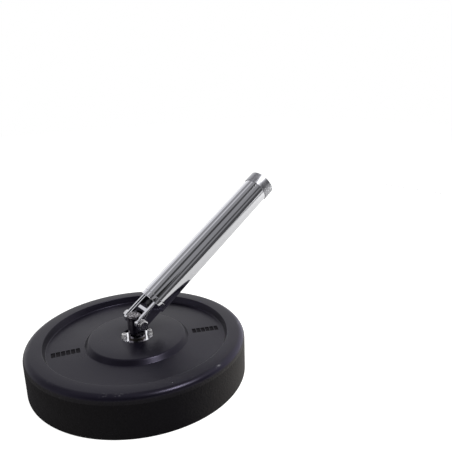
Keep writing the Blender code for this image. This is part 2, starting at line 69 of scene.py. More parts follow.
# Turn of one step of a round, and the least angle of an edge that stays sharp.
ROUND_STEP = math.radians(9)
SHARP = math.radians(32)
THREAD_SHARP = math.radians(25)
# Sides of turned pieces.
FINE = 192
MEDIUM = 96
SMALL = 64

# How far a cutting tool reaches past the face that it cuts.
CUT = 0.001
# Hole for the housing's screws in the spool, top of the tool that countersinks the cover, and the hexagon
# sockets in the cover's screws.
SCREW_HOLE_DEPTH = 0.0062
COUNTERSINK_TOP = 0.02
COVER_SOCKET_FLATS = 0.0040
COVER_SOCKET_DEPTH = 0.0022
# Half the width of a spring washer's cut, half its height, and its slant.
SPLIT_WIDTH = 0.00035
SPLIT_HEIGHT = 0.003
SPLIT_SLANT = 0.6
# Half the clearance between the two hinge bushes inside the post.
BUSH_MIDDLE = 0.0005
# Where the stop's bolt ends on the sleeve's line, and how far the hinge bolt stands out of its nut.
STOP_BOLT_END = 0.0360
PIN_BOLT_STICK_OUT = 0.0020
# Chamfer on hexagons: where it starts, as a share of half the flats, and its slope.
CHAMFER_START = 0.94
CHAMFER_SLOPE = math.radians(30)
# A thread's depth and its end taper as shares of its pitch, and its length in pitches.
THREAD_DEPTH = 0.6
THREAD_LENGTH = 10.0

BODY_OF = {node: body for body, nodes in frame["record"]["behaviour"]["bodies"].items() for node in nodes}
HINGE = next(joint for joint in frame["joints"] if joint["name"] == "sleeve_hinge")
MOUTH = next(mount for mount in frame["record"]["mounts"] if mount["name"] == "sleeve_mouth_face")
PLATE_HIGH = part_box("rubber_plate")[1]
HOUSING_LOW, HOUSING_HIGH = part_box("swivel_housing")
POST_LOW, POST_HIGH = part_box("swivel_post")
SLEEVE_ANGLE = math.atan2(MOUTH["axis"][2], MOUTH["axis"][0])


def length(name, default, description):
    return bpy.props.FloatProperty(name=name, description=description, default=default, unit="LENGTH",
                                   precision=4)


def turn_angle(name, degrees, description):
    return bpy.props.FloatProperty(name=name, description=description, default=math.radians(degrees),
                                   unit="ROTATION")


def colour(name, default, description):
    return bpy.props.FloatVectorProperty(name=name, description=description, default=default, size=3,
                                         subtype="COLOR", min=0.0, max=1.0)


def share(name, default, description):
    return bpy.props.FloatProperty(name=name, description=description, default=default, subtype="FACTOR",
                                   min=0.0, max=1.0)


class PlateSizes(bpy.types.PropertyGroup):
    radius: length("Radius", PLATE_HIGH.x, "Outer radius of the rubber plate")
    height: length("Height", PLATE_HIGH.z, "Height of the rim above the floor")
    top_round: length("Top round", 0.0138, "Round on the rim's outer top edge")
    foot_round: length("Foot round", 0.0017, "Round on the bottom edge")
    rim_width: length("Rim width", 0.0365, "Width of the raised rim")
    rim_slope: length("Rim slope", 0.0050, "Width of the slope from the rim into the dish")
    rim_round: length("Rim round", 0.0015, "Round on the rim's inner edge")
    dish_depth: length("Dish depth", 0.0140, "Depth of the sunk ring below the rim")
    dish_round: length("Dish round", 0.0025, "Round at the edges of the sunk ring")
    hub_radius: length("Hub radius", 0.0990, "Radius of the raised middle")
    hub_drop: length("Hub drop", 0.0050, "Height of the rim above the raised middle")
    hub_slope: length("Hub slope", 0.0085, "Width of the slope round the raised middle")
    hub_round: length("Hub round", 0.0060, "Round on the raised middle's edge")
    insert_radius: length("Insert radius", 0.0450, "Radius of the moulded-in spool's flanges")
    insert_flange: length("Insert flange", 0.0080, "Thickness of the moulded-in spool's flanges")
    insert_barrel: length("Insert barrel", 0.0300, "Radius of the moulded-in spool's barrel")
    cover_radius: length("Cover radius", 0.0500, "Radius of the steel cover in the underside")
    cover_thickness: length("Cover thickness", 0.0060, "Thickness of the steel cover")
    mark_start: length("Mark start", 0.1160, "Distance of each row of recessed bars from the axis")
    mark_pitch: length("Mark pitch", 0.0096, "Step from one recessed bar to the next")
    mark_width: length("Mark width", 0.0082, "Width of a recessed bar")
    mark_length: length("Mark length", 0.0185, "Length of a recessed bar")
    mark_depth: length("Mark depth", 0.0020, "Depth of a recessed bar")
    mark_round: length("Mark round", 0.0010, "Round on a recessed bar's edges")
    mark_count: bpy.props.IntProperty(name="Marks", description="Number of recessed bars in a row", default=6)
    left_marks: turn_angle("Left marks", 163.0, "Direction of the left row of recessed bars")
    right_marks: turn_angle("Right marks", -25.0, "Direction of the right row of recessed bars")


class PivotSizes(bpy.types.PropertyGroup):
    housing_radius: length("Housing radius", HOUSING_HIGH.x, "Radius of the swivel housing's flange")
    housing_edge: length("Housing edge", 0.0012, "Round on the flange's edge")
    housing_barrel: length("Housing barrel", 0.0220, "Radius of the housing below its flange")
    housing_flange: length("Housing flange", 0.0045, "Thickness of the flange")
    screw_circle: length("Screw circle", 0.0265, "Distance of the two screws from the axis")
    screw_angle: turn_angle("Screw angle", -22.0, "Direction of the right screw")
    bush_wall: length("Bush wall", 0.0015, "Wall of the swivel bushes")
    bush_length: length("Bush length", 0.0200, "Length of the swivel bushes")
    bush_flange: length("Bush flange", 0.0178, "Radius of the swivel bushes' flanges")
    bush_flange_thickness: length("Bush flange thickness", 0.0020, "Thickness of those flanges")
    post_radius: length("Post radius", 0.0180, "Radius of the upright between the fork's arms")
    post_round: length("Post round", 0.0030, "Round on the post's top")
    post_flat: length("Post flat", 0.0150, "Distance of the post's flats from the axis")
    foot_height: length("Foot height", 0.0085, "Height of the post's round foot below its flats")
    journal_radius: length("Journal radius", 0.0145, "Radius of the post where it turns in its bushes")
    spindle_radius: length("Spindle radius", 0.0100, "Radius of the threaded spindle below")
    pin_bush_radius: length("Pin bush radius", 0.0070, "Radius of the hinge bushes")
    pin_bush_flange: length("Pin bush flange", 0.0100, "Radius of the hinge bushes' flanges")


class SleeveSizes(bpy.types.PropertyGroup):
    radius: length("Radius", 0.03015, "Outer radius of the tube")
    bore: length("Bore", 0.02625, "Radius of the bore")
    start: length("Start", 0.0603, "Distance of the tube's lower end from the hinge bolt")
    end: length("End", 0.4110, "Distance of the tube's upper end from the hinge bolt")
    edge: length("Edge", 0.0004, "Round on the tube's lower end")
    shoulder_edge: length("Shoulder edge", 0.0012, "Round on the fork's shoulder below the tube")
    mouth_start: length("Mouth start", 0.4030, "Distance of the mouth ring's skirt from the hinge bolt")
    mouth_end: length("Mouth end", 0.4300, "Distance of the mouth ring's face from the hinge bolt")
    mouth_radius: length("Mouth radius", 0.0315, "Outer radius of the mouth ring")
    mouth_round: length("Mouth round", 0.0015, "Round on the mouth ring's lip")
    arm_height: length("Arm height", 0.0260, "Height of the fork's arms")
    arm_round: length("Arm round", 0.0020, "Round on the arms' outer edges")
    arm_flat: length("Arm flat", 0.0275, "Distance of the arms' outer faces from the middle")
    fork_gap: length("Fork gap", 0.0175, "Half the gap between the arms")
    rebate_gap: length("Rebate gap", 0.0225, "Half the gap between the arms along their rebated edges")
    rebate_depth: length("Rebate depth", 0.0018, "Depth of those rebates")
    web_start: length("Web start", 0.0235, "Distance of the cross web from the hinge bolt")
    web_height: length("Web height", 0.0180, "Height of the cross web")
    web_thickness: length("Web thickness", 0.0065, "Thickness of the cross web")
    disc_thickness: length("Disc thickness", 0.0120, "Thickness of the disc that carries the tube")
    disc_round: length("Disc round", 0.0015, "Round on that disc's lower edge")
    spigot: length("Spigot", 0.0140, "Length of the plug in the tube's end")
    stop_thickness: length("Stop thickness", 0.0150, "Thickness of the stop in the tube")
    stop_recess: length("Stop recess", 0.0130, "Radius of the recess for the stop's bolt")
    stop_floor: length("Stop floor", 0.0050, "Floor left below that recess")


class FastenerSizes(bpy.types.PropertyGroup):
    screw_radius: length("Screw radius", 0.0030, "Radius of the six millimetre screws")
    screw_head: length("Screw head", 0.0050, "Radius of their heads")
    screw_head_height: length("Screw head height", 0.0060, "Height of their heads")
    screw_socket: length("Screw socket", 0.0050, "Width across the flats of their sockets")
    socket_depth: length("Socket depth", 0.0030, "Depth of their sockets")
    knurl_depth: length("Knurl depth", 0.0002, "Depth of the grooves round their heads")
    flat_washer: length("Flat washer", 0.0060, "Radius of the six millimetre flat washers")
    flat_washer_thickness: length("Flat washer thickness", 0.0016, "Thickness of those washers")
    spring_washer: length("Spring washer", 0.0055, "Radius of the split spring washers")
    spring_washer_thickness: length("Spring washer thickness", 0.0015, "Thickness of those washers")
    bolt_radius: length("Bolt radius", 0.0050, "Radius of the ten millimetre bolts")
    bolt_flats: length("Bolt flats", 0.0170, "Width across the flats of their heads and nuts")
    bolt_head: length("Bolt head", 0.0064, "Height of their heads")
    nut_height: length("Nut height", 0.0095, "Height of their nuts")
    washer_radius: length("Washer radius", 0.0100, "Radius of their washers")
    washer_thickness: length("Washer thickness", 0.0020, "Thickness of their washers")
    thread_pitch: length("Thread pitch", 0.0015, "Step of the ten millimetre thread")


class FinishColours(bpy.types.PropertyGroup):
    rubber_top: colour("Rubber top", (0.0044, 0.0038, 0.0072), "Moulded rubber on the top")
    rubber_side: colour("Rubber side", (0.0290, 0.0275, 0.0250), "Crumb rubber on the side")
    rubber_scuff: colour("Rubber scuff", (0.26, 0.26, 0.27), "Scuffed rubber on the rim's edge")
    chrome: colour("Chrome", (0.86, 0.86, 0.90), "Polished chrome plate")
    # Chrome on the post, darkened as painted shade: made darker than the flange's chrome to stand in for the
    # dark plate and parts that it reflects.
    shaded_post_chrome: colour("Post chrome", (0.34, 0.32, 0.35), "Dark chrome plate on the post")
    satin: colour("Satin", (0.48, 0.48, 0.51), "Satin turned steel")
    steel: colour("Steel", (0.42, 0.42, 0.43), "Plain turned steel")
    zinc: colour("Zinc", (0.90, 0.89, 0.90), "Bright zinc plate")
    # Bearing bronze, darkened almost to black as painted shade, so that the bushes' flanges in the gaps under
    # the post's foot and beside the post read dark.
    bronze: colour("Bronze", (0.11, 0.095, 0.08), "Oiled bearing bronze")
    # Steel made black as painted shade, so that the stop's bolt and nut in the fork's window read as the dark
    # gap there.
    black_steel: colour("Black steel", (0.06, 0.06, 0.065), "Black oxide on steel")
    nylon: colour("Nylon", (0.025, 0.025, 0.027), "Matt black nylon")


class StudioSettings(bpy.types.PropertyGroup):
    camera_place: bpy.props.FloatVectorProperty(
        name="Camera place", description="Camera position", default=(-0.42207, -0.84675, 0.57629),
        size=3, unit="LENGTH")
    camera_turn: turn_angle("Camera turn", -38.2, "Heading of the camera about Z")
    camera_pitch: turn_angle("Camera pitch", 16.02, "How far the camera looks down")
    camera_roll: turn_angle("Camera roll", -1.42, "Roll of the camera")
    lens: bpy.props.FloatProperty(name="Lens", description="Focal length in millimetres", default=39.03)
    floor_size: length("Floor size", 12.0, "Side of the floor")
    daylight: share("Daylight", 0.20, "Strength of the white surroundings on matt surfaces")
    dark_card_turn: turn_angle("Dark card turn", -135.0, "Heading of the dark card from the object")
    dark_card_rise: turn_angle("Dark card rise", 27.0, "Angle of the dark card above the floor")
    card_distance: length("Card distance", 1.5, "Distance of the reflector cards from the sleeve's axis")
    floor_lift: share("Floor lift", 0.93, "White that the floor adds for the camera")
    floor_shine: share("Floor shine", 0.20, "White that the floor adds for reflections in metal")


def activate(piece):
    bpy.ops.object.select_all(action="DESELECT")
    piece.select_set(True)
    bpy.context.view_layer.objects.active = piece


def added(operator, name, **settings):
    """Add one of Blender's primitives with nothing else selected."""
    bpy.ops.object.select_all(action="DESELECT")
    operator(**settings)
    piece = bpy.context.object
    piece.name = name
    return piece


def settle(piece, matrix):
    """Lay a piece where it belongs and put its place into its mesh."""
    piece.matrix_world = matrix @ piece.matrix_world
    activate(piece)
    bpy.ops.object.transform_apply(location=True, rotation=True, scale=True)


def smooth(piece, angle=SHARP):
    activate(piece)
    bpy.ops.object.shade_smooth_by_angle(angle=angle)


def apply_modifier(piece, kind, **settings):
    modifier = piece.modifiers.new(kind.title(), kind)
    for name, value in settings.items():
        setattr(modifier, name, value)
    activate(piece)
    bpy.ops.object.modifier_apply(modifier=modifier.name)


def carve(piece, tool, operation="DIFFERENCE"):
    """Cut a piece with a tool, or join or intersect the two, and put the tool away."""
    apply_modifier(piece, "BOOLEAN", operation=operation, solver="EXACT", object=tool)
    bpy.data.objects.remove(tool)


def soften(piece, width, segments=3, angle=SHARP):
    """Round every edge that is sharper than an angle."""
    apply_modifier(piece, "BEVEL", width=width, segments=segments, limit_method="ANGLE", angle_limit=angle,
                   use_clamp_overlap=True, miter_outer="MITER_ARC")


def pick(piece, test):
    """In edit mode, select the vertices that pass a test."""
    bpy.ops.mesh.select_mode(type="VERT")
    bpy.ops.mesh.select_all(action="DESELECT")
    shape = bmesh.from_edit_mesh(piece.data)
    for vert in shape.verts:
        vert.select = test(vert.co)
    shape.select_flush(True)
    bmesh.update_edit_mesh(piece.data)


def corner_setback(corners, index):
    """How far from a corner its round begins."""
    here = Vector(corners[index][:2])
    back = Vector(corners[index - 1][:2]) - here
    ahead = Vector(corners[(index + 1) % len(corners)][:2]) - here
    half = back.angle(ahead) / 2
    return corners[index][2] / math.tan(half), math.pi - 2 * half


def turned(name, corners, sides, matrix=Matrix()):
    """Extrude an outline of (radius, height, round) corners from one vertex and spin it about Z.

    An outline that starts and ends on the axis stays open there, and any other one is closed.
    """
    piece = added(bpy.ops.mesh.primitive_plane_add, name, size=SPECK)
    bpy.ops.object.mode_set(mode="EDIT")
    bpy.ops.mesh.merge(type="CENTER")
    bpy.ops.transform.translate(value=(corners[0][0], 0.0, corners[0][1]))
    for here, following in zip(corners, corners[1:]):
        step = (following[0] - here[0], 0.0, following[1] - here[1])
        bpy.ops.mesh.extrude_vertices_move(TRANSFORM_OT_translate={"value": step})
    ends = [Vector((corner[0], 0.0, corner[1])) for corner in (corners[0], corners[-1])]
    if ends[0].x > 0.0 or ends[1].x > 0.0:
        pick(piece, lambda co: min((co - end).length for end in ends) < MERGE)
        bpy.ops.mesh.edge_face_add()
    for index, (x, z, radius) in enumerate(corners):
        if radius > 0.0:
            corner = Vector((x, 0.0, z))
            setback, bend = corner_setback(corners, index)
            pick(piece, lambda co: (co - corner).length < MERGE)
            bpy.ops.mesh.bevel(offset=setback, segments=max(2, round(bend / ROUND_STEP)), affect="VERTICES")
    bpy.ops.mesh.select_all(action="SELECT")
    bpy.ops.mesh.spin(steps=sides, angle=math.tau, center=(0.0, 0.0, 0.0), axis=(0.0, 0.0, 1.0))
    bpy.ops.mesh.select_all(action="SELECT")
    bpy.ops.mesh.remove_doubles(threshold=MERGE)
    bpy.ops.mesh.normals_make_consistent(inside=False)
    bpy.ops.object.mode_set(mode="OBJECT")
    settle(piece, matrix)
    smooth(piece)
    return piece


def ring(inner, outer, low, high, edge=0.0):
    return [(inner, high, edge), (outer, high, edge), (outer, low, edge), (inner, low, edge)]


def disc(radius, low, high):
    return [(0.0, high, 0.0), (radius, high, 0.0), (radius, low, 0.0), (0.0, low, 0.0)]


def block(low, high, matrix=Matrix()):
    """Tool in the shape of a box."""
    low, high = Vector(low), Vector(high)
    tool = added(bpy.ops.mesh.primitive_cube_add, "block", size=1.0, location=(low + high) / 2,
                 scale=high - low)
    settle(tool, matrix)
    return tool


def prism(name, sides, flats, low, high, matrix=Matrix()):
    """Prism of a width across its flats, standing about Z."""
    piece = added(bpy.ops.mesh.primitive_cylinder_add, name, vertices=sides, depth=high - low,
                  radius=flats / 2 / math.cos(math.pi / sides), location=(0.0, 0.0, (low + high) / 2))
    settle(piece, matrix)
    return piece


def rod(radius, low, high, matrix=Matrix(), sides=SMALL):
    """Round tool about Z."""
    return turned("rod", disc(radius, low, high), sides, matrix)


def thread_outline(radius, depth, start, end, pitch):
    """Corners of a threaded stretch that runs down from start to end."""
    corners = []
    turns = int((start - end) / pitch)
    for index in range(turns):
        top = start - index * pitch
        corners.append((radius, top, 0.0))
        corners.append((radius, top - pitch / 8, 0.0))
        corners.append((radius - depth, top - pitch / 2, 0.0))
        corners.append((radius - depth, top - pitch * 5 / 8, 0.0))
    return corners


def dress(piece, finish, node):
    """Give a piece its finish, and let it stand for a CAD node and ride on its body."""
    piece.data.materials.clear()
    piece.data.materials.append(FINISHES[finish])
    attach(piece, BODY_OF[node])
    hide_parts(node)


class Wire:
    """An output socket that takes part in plain arithmetic, which adds Math nodes."""

    def __init__(self, nodes, socket):
        self.nodes = nodes
        self.socket = socket

    def math(self, operation, *values):
        return self.nodes.node("ShaderNodeMath", {"operation": operation}, dict(enumerate(values)))

    def __add__(self, other):
        return self.math("ADD", self, other)

    def __radd__(self, other):
        return self.math("ADD", other, self)

    def __sub__(self, other):
        return self.math("SUBTRACT", self, other)

    def __rsub__(self, other):
        return self.math("SUBTRACT", other, self)

    def __mul__(self, other):
        return self.math("MULTIPLY", self, other)

    def __rmul__(self, other):
        return self.math("MULTIPLY", other, self)


class Nodes:
    """Node tree of a material or a world, and the shader that it feeds."""

    def __init__(self, owner, shader):
        owner.use_nodes = True
        self.tree = owner.node_tree
        self.shader = self.tree.nodes[shader]

    def node(self, kind, settings, values, output=0):
        """Add a node: its settings first, then the values or wires of its sockets."""
        made = self.tree.nodes.new(kind)
        for name, value in settings.items():
            setattr(made, name, value)
        for name, value in values.items():
            self.feed(made.inputs[name], value)
        return Wire(self, made.outputs[output])

    def feed(self, socket, value):
        if isinstance(value, Wire):
            self.tree.links.new(value.socket, socket)
        elif hasattr(value, "__len__") and len(socket.default_value) == 4:
            socket.default_value = (*value, 1.0)
        else:
            socket.default_value = value

    def set(self, **values):
        """Set the shader's sockets, named with underscores for spaces."""
        for name, value in values.items():
            self.feed(self.shader.inputs[name.replace("_", " ")], value)

    def seen_as(self, plain, camera, mirrored):
        """A level for each kind of ray: light on matt surfaces, the camera's, and reflections or glass."""
        level = plain
        for ray, seen in (("Is Camera Ray", camera), ("Is Glossy Ray", mirrored),
                          ("Is Transmission Ray", mirrored)):
            level = self.node("ShaderNodeLightPath", {}, {}, ray) * (seen - plain) + level
        return level


class Finish(Nodes):
    """A procedural material, read in Object coordinates."""

    def __init__(self, name):
        self.material = bpy.data.materials.new(name)
        super().__init__(self.material, "Principled BSDF")
        self.place = self.node("ShaderNodeTexCoord", {}, {}, "Object")

    def height(self):
        return self.node("ShaderNodeSeparateXYZ", {}, {0: self.place}, "Z")

    def radius(self):
        """Distance from the swivel axis."""
        flat = self.node("ShaderNodeVectorMath", {"operation": "MULTIPLY"},
                         {0: self.place, 1: (1.0, 1.0, 0.0)})
        return self.node("ShaderNodeVectorMath", {"operation": "LENGTH"}, {0: flat}, "Value")

    def noise(self, scale, detail=4.0, roughness=0.55, place=None):
        return self.node("ShaderNodeTexNoise", {"noise_dimensions": "3D"},
                         {"Vector": place or self.place, "Scale": scale, "Detail": detail,
                          "Roughness": roughness}, "Fac")

    def between(self, value, low, high, first=0.0, last=1.0):
        """Smooth step of a value from one level to another."""
        return self.node("ShaderNodeMapRange", {"interpolation_type": "SMOOTHSTEP"},
                         {"Value": value, "From Min": low, "From Max": high, "To Min": first, "To Max": last})

    def blend(self, factor, first, second):
        return self.node("ShaderNodeMix", {"data_type": "RGBA"}, {0: factor, 6: first, 7: second}, 2)

    def moved(self, matrix):
        """Object coordinates turned and centred by the inverse of a piece's place."""
        inverse = matrix.inverted()
        return self.node("ShaderNodeMapping", {"vector_type": "POINT"},
                         {"Vector": self.place, "Location": tuple(inverse.to_translation()),
                          "Rotation": tuple(inverse.to_euler())})

    def stretched(self, place, scale):
        return self.node("ShaderNodeMapping", {"vector_type": "POINT"}, {"Vector": place, "Scale": scale})

    def bump(self, height, strength, distance):
        self.set(Normal=self.node("ShaderNodeBump", {}, {"Strength": strength, "Distance": distance,
                                                         "Height": height}))


def times(factor, tint):
    """A colour made darker or lighter."""
    return tuple(factor * channel for channel in tint)


def shift(x=0.0, y=0.0, z=0.0):
    return Matrix.Translation((x, y, z))


def turn_about(axis, angle):
    return Matrix.Rotation(angle, 4, axis)


def hinge_matrix():
    return shift(*HINGE["pos_m"])


def sleeve_matrix():
    """Place of the sleeve's line, which starts at the hinge bolt."""
    return hinge_matrix() @ turn_about("Y", math.pi / 2 - SLEEVE_ANGLE)


# Reflector cards round the sleeve: first and last angle in degrees, counted from straight above it
# towards the near side, and grey.
REFLECTOR_CARDS = (
    (-71, -47, 0.70),
    (-47, -23, 0.30),
    (-23, -11, 0.60),
    (-11, 14, 0.27),
    (14, 30, 0.06),
    (30, 61, 0.26),
    (61, 73, 0.07),
    (73, 85, 0.22),
    (85, 109, 0.07),
)
# Where along the sleeve's line the cards begin and end.
CARD_SPAN = (-1.2, 3.0)
# Dark card behind the camera: its distance, width, height and grey.
DARK_CARD = (1.2, 1.4, 0.9, 0.02)
CARD_TINT = (0.97, 0.97, 1.0)
FLOOR_TINT = (0.35, 0.35, 0.34)
FLOOR_DROP = 0.0002
# Lamps: name, place, width and height, watts, and whether metal reflects them.
LAMPS = (
    ("overhead", (-0.2, 0.5, 2.2), (1.8, 1.8), 20.0, False),
    ("front_right", (0.675, -1.17, 2.90), (0.5, 0.5), 60.0, True),
    ("low_right", (2.00, 0.0, 0.02), (1.6, 0.03), 720.0, False),
    ("low_left", (-2.00, 0.5, 0.12), (1.2, 0.2), 30.0, False),
)
ALONG_Y = turn_about("X", math.radians(-90))
AGAINST_Y = turn_about("X", math.radians(90))
FINISHES = {}


def rubber_finish(colours, plate):
    """Smooth moulded skin on top, rough crumb on the side, with scuffs on the rim's edge."""
    finish = Finish("moulded_black_rubber")
    radius = finish.radius()
    height = finish.height()
    side = finish.between(radius, plate.radius - 0.0050, plate.radius - 0.0010)
    side = side * finish.between(height, plate.height - 0.0050, plate.height - 0.0095)
    # Painted shade on the lower part of the rim's round and the top of the side: above this band the crumb is
    # darkened to a quarter of its colour, and below it keeps its own colour.
    below_shaded_round = finish.between(height, plate.height - 0.0145, plate.height - 0.0230)
    cloud = finish.noise(9.0, 5.0)
    grain = finish.noise(420.0, 3.0, 0.6)
    crumb = finish.node("ShaderNodeTexVoronoi", {"feature": "F1"}, {"Vector": finish.place, "Scale": 300.0,
                                                                   "Randomness": 1.0}, "Distance")
    chips = finish.noise(160.0, 4.0, 0.7)
    edge = finish.between(radius, plate.radius - 0.0150, plate.radius - 0.0095)
    edge = edge * finish.between(radius, plate.radius - 0.0030, plate.radius - 0.0070)
    patch = finish.between(finish.noise(14.0, 3.0), 0.54, 0.66)
    streak = finish.between(finish.noise(210.0, 5.0, 0.75), 0.50, 0.66)
    scuff = edge * patch * streak
    top_colour = finish.blend(finish.between(cloud, 0.35, 0.70), times(0.82, colours.rubber_top),
                              colours.rubber_top)
    side_colour = finish.blend(finish.between(chips, 0.46, 0.66), colours.rubber_side,
                               times(2.1, colours.rubber_side))
    # Painted shade: a quarter of the crumb's colour on the rim's round.
    side_colour = finish.blend(below_shaded_round, times(0.25, colours.rubber_side), side_colour)
    floor = plate.height - plate.dish_depth
    sunk = finish.between(height, floor - 0.0003, floor - 0.0010)
    sunk = sunk * finish.between(radius, plate.hub_radius, plate.mark_start)
    tone = finish.blend(side, top_colour, side_colour)
    tone = finish.blend(sunk, tone, times(0.2, colours.rubber_side))
    finish.set(Base_Color=finish.blend(scuff * 0.55, tone, colours.rubber_scuff))
    smooth_rough = finish.between(cloud, 0.30, 0.75, 0.27, 0.36)
    finish.set(Roughness=smooth_rough + side * 0.45 + sunk * 0.55 + scuff * 0.15)
    finish.bump(grain * (1 - side) * 0.10 + (crumb * 0.8 + chips * 0.9) * side, 0.55, 0.0011)
    finish.set(Specular_IOR_Level=0.27)
    finish.set(Specular_Tint=(0.78, 0.72, 1.0))
    return finish.material


def chrome_finish(name, tint, matrix, spotted_above=None):
    """Polished plate with faint wipe marks along its axis, and dark random spots above a height if asked."""
    finish = Finish(name)
    place = finish.moved(matrix)
    wipe = finish.noise(38.0, 4.0, 0.6, finish.stretched(place, (1.0, 1.0, 0.14)))
    cloud = finish.noise(11.0, 3.0, 0.5, place)
    pits = finish.noise(900.0, 2.0, 0.5, place)
    tone = finish.blend(finish.between(cloud, 0.3, 0.7), times(0.965, tint), tint)
    if spotted_above is not None:
        spots = finish.between(finish.noise(230.0, 3.0, 0.6), 0.40, 0.56)
        spots = spots * finish.between(finish.height(), spotted_above - 0.0006, spotted_above)
        tone = finish.blend(spots, tone, times(0.09, tint))
    finish.set(Metallic=1.0)
    finish.set(Base_Color=tone)
    finish.set(Roughness=finish.between(wipe, 0.40, 0.75, 0.045, 0.085))
    finish.bump(wipe * 0.6 + pits * 0.04, 0.05, 0.0004)
    return finish.material


def turned_finish(name, tint, matrix, rough_low, rough_high, lines=1500.0, metallic=1.0):
    """Lathe-turned metal: fine rings about the piece's axis and a little clouding."""
    finish = Finish(name)
    place = finish.moved(matrix)
    rings = finish.noise(1.0, 3.0, 0.7, finish.stretched(place, (60.0, 60.0, lines)))
    cloud = finish.noise(55.0, 4.0, 0.6, place)
    dark = times(0.86, tint)
    finish.set(Metallic=metallic)
    finish.set(Base_Color=finish.blend(finish.between(rings * 0.6 + cloud * 0.4, 0.35, 0.65), dark, tint))
    finish.set(Roughness=finish.between(rings * 0.5 + cloud * 0.5, 0.35, 0.65, rough_low, rough_high))
    finish.bump(rings, 0.18, 0.0003)
    return finish.material


def nylon_finish(colours):
    finish = Finish("black_nylon_moulding")
    cloud = finish.noise(70.0, 4.0)
    grain = finish.noise(1300.0, 2.0)
    finish.set(Base_Color=finish.blend(cloud, times(0.7, colours.nylon), colours.nylon))
    finish.set(Roughness=finish.between(cloud, 0.3, 0.7, 0.42, 0.58))
    finish.bump(grain, 0.15, 0.0004)
    return finish.material


class PIVOT_OT_finishes(bpy.types.Operator):
    """Mix the finishes that the pieces share"""
    bl_idname = "pivot.finishes"
    bl_label = "Mix finishes"

    def execute(self, context):
        scene = context.scene
        colours = scene.pivot_colours
        upright, sleeve = Matrix(), sleeve_matrix()
        cross = hinge_matrix() @ ALONG_Y
        FINISHES["rubber"] = rubber_finish(colours, scene.pivot_plate)
        FINISHES["nylon"] = nylon_finish(colours)
        for key, name, tint, matrix, spotted_above in (
                ("flange chrome", "polished_chrome_flange", colours.chrome, upright, None),
                # The post's chrome is darkened as painted shade.
                ("post chrome", "shaded_chrome_post", colours.shaded_post_chrome, upright, POST_HIGH.z - 0.0012),
                ("sleeve chrome", "polished_chrome_sleeve", colours.chrome, sleeve, None)):
            FINISHES[key] = chrome_finish(name, tint, matrix, spotted_above)
        for key, name, tint, matrix, rough_low, rough_high in (
                ("satin", "satin_turned_steel", colours.satin, sleeve, 0.26, 0.40),
                # The bushes' bronze is darkened as painted shade.
                ("bronze", "bearing_bronze", colours.bronze, upright, 0.28, 0.45),
                ("pin bronze", "hinge_bronze", colours.bronze, cross, 0.28, 0.45),
                ("pin zinc", "bright_zinc_hinge", colours.zinc, cross, 0.16, 0.30),
                # The stop's steel is blackened as painted shade.
                ("black steel", "shade_black_stop", colours.black_steel, sleeve, 0.30, 0.45),
                ("sleeve zinc", "bright_zinc_stop", colours.zinc, sleeve, 0.18, 0.32)):
            FINISHES[key] = turned_finish(name, tint, matrix, rough_low, rough_high)
        FINISHES["steel"] = turned_finish("plain_turned_steel", colours.steel, upright, 0.34, 0.52, 1100.0)
        FINISHES["zinc"] = turned_finish("bright_zinc_upright", colours.zinc, upright, 0.34, 0.48,
                                         metallic=0.6)
        return {"FINISHED"}


class PIVOT_OT_plate(bpy.types.Operator):
    """Turn the rubber plate and sink its rows of plain bars"""
    bl_idname = "pivot.plate"
    bl_label = "Rubber plate"

    def execute(self, context):
        plate = context.scene.pivot_plate
        pivot = context.scene.pivot_parts
        rim = plate.radius - plate.rim_width
        hub_top = plate.height - plate.hub_drop
        dish_floor = plate.height - plate.dish_depth
        recess = pivot.housing_radius + GAP
        flange = plate.insert_radius + GAP
        barrel = plate.insert_barrel + GAP
        seat = HOUSING_HIGH.z - pivot.housing_flange
        foot = plate.cover_thickness + GAP
        piece = turned("moulded_plate", [
            (recess, hub_top, 0.0006),
            (plate.hub_radius, hub_top, plate.hub_round),
            (plate.hub_radius + plate.hub_slope, dish_floor, plate.dish_round),
            (rim - plate.rim_slope, dish_floor, plate.dish_round),
            (rim, plate.height, plate.rim_round),
            (plate.radius, plate.height, plate.top_round),
            (plate.radius, 0.0, plate.foot_round),
            (plate.cover_radius + GAP, 0.0, 0.0004),
            (plate.cover_radius + GAP, foot, 0.0),
            (flange, foot, 0.0),
            (flange, foot + plate.insert_flange + GAP, 0.0),
            (barrel, foot + plate.insert_flange + GAP, 0.0),
            (barrel, seat - plate.insert_flange - 2 * GAP, 0.0),
            (flange, seat - plate.insert_flange - 2 * GAP, 0.0),
            (flange, seat, 0.0),
            (recess, seat, 0.0),
        ], FINE)
        for turn in (plate.left_marks, plate.right_marks):
            for index in range(plate.mark_count):
                middle = plate.mark_start + (index + 0.5) * plate.mark_pitch
                spot = turn_about("Z", turn) @ shift(middle, 0.0, dish_floor)
                half_width, half_length = plate.mark_width / 2, plate.mark_length / 2
                bar = block((-half_width, -half_length, -plate.mark_depth),
                            (half_width, half_length, plate.mark_depth), spot)
                soften(bar, plate.mark_round, 3)
                carve(piece, bar)
        smooth(piece)
        dress(piece, "rubber", "rubber_plate")
        return {"FINISHED"}


